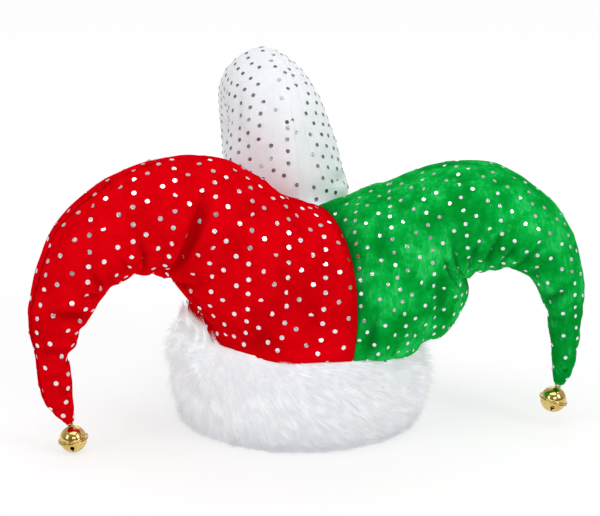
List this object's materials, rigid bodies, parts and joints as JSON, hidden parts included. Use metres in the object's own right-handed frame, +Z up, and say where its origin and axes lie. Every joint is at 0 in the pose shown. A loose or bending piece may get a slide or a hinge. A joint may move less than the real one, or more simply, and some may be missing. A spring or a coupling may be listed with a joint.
{
  "type": "jester hat",
  "caption": "Plush jester hat with stuffed horns in red, green and white, a deep fur cuff and a jingle bell on each tip.",
  "frame": {"origin": "centre of the head opening, on the surface that the fur cuff stands on", "axes": "+Z up through the crown; -Y is the front, where the red and green panels meet; +X towards the green horn"},
  "size_m": [0.4769, 0.3332, 0.3244],
  "materials": {
    "red_velvet": "short pile velvet with small silver foil dots",
    "green_velvet": "short pile velvet, crushed, with small silver foil dots",
    "white_velvet": "short pile velvet with small silver foil dots",
    "fur": "deep plush fur",
    "gold": "polished gold plating",
    "steel": "plain"
  },
  "bodies": {
    "root": {"red_horn": "red_velvet", "green_horn": "green_velvet", "white_horn": "white_velvet", "fur_cuff": "fur", "red_bell_cap": "gold", "red_bell_cup": "gold", "red_bell_pellet": "steel", "green_bell_cap": "gold", "green_bell_cup": "gold", "green_bell_pellet": "steel", "white_bell_cap": "gold", "white_bell_cup": "gold", "white_bell_pellet": "steel"}
  },
  "joints": []
}
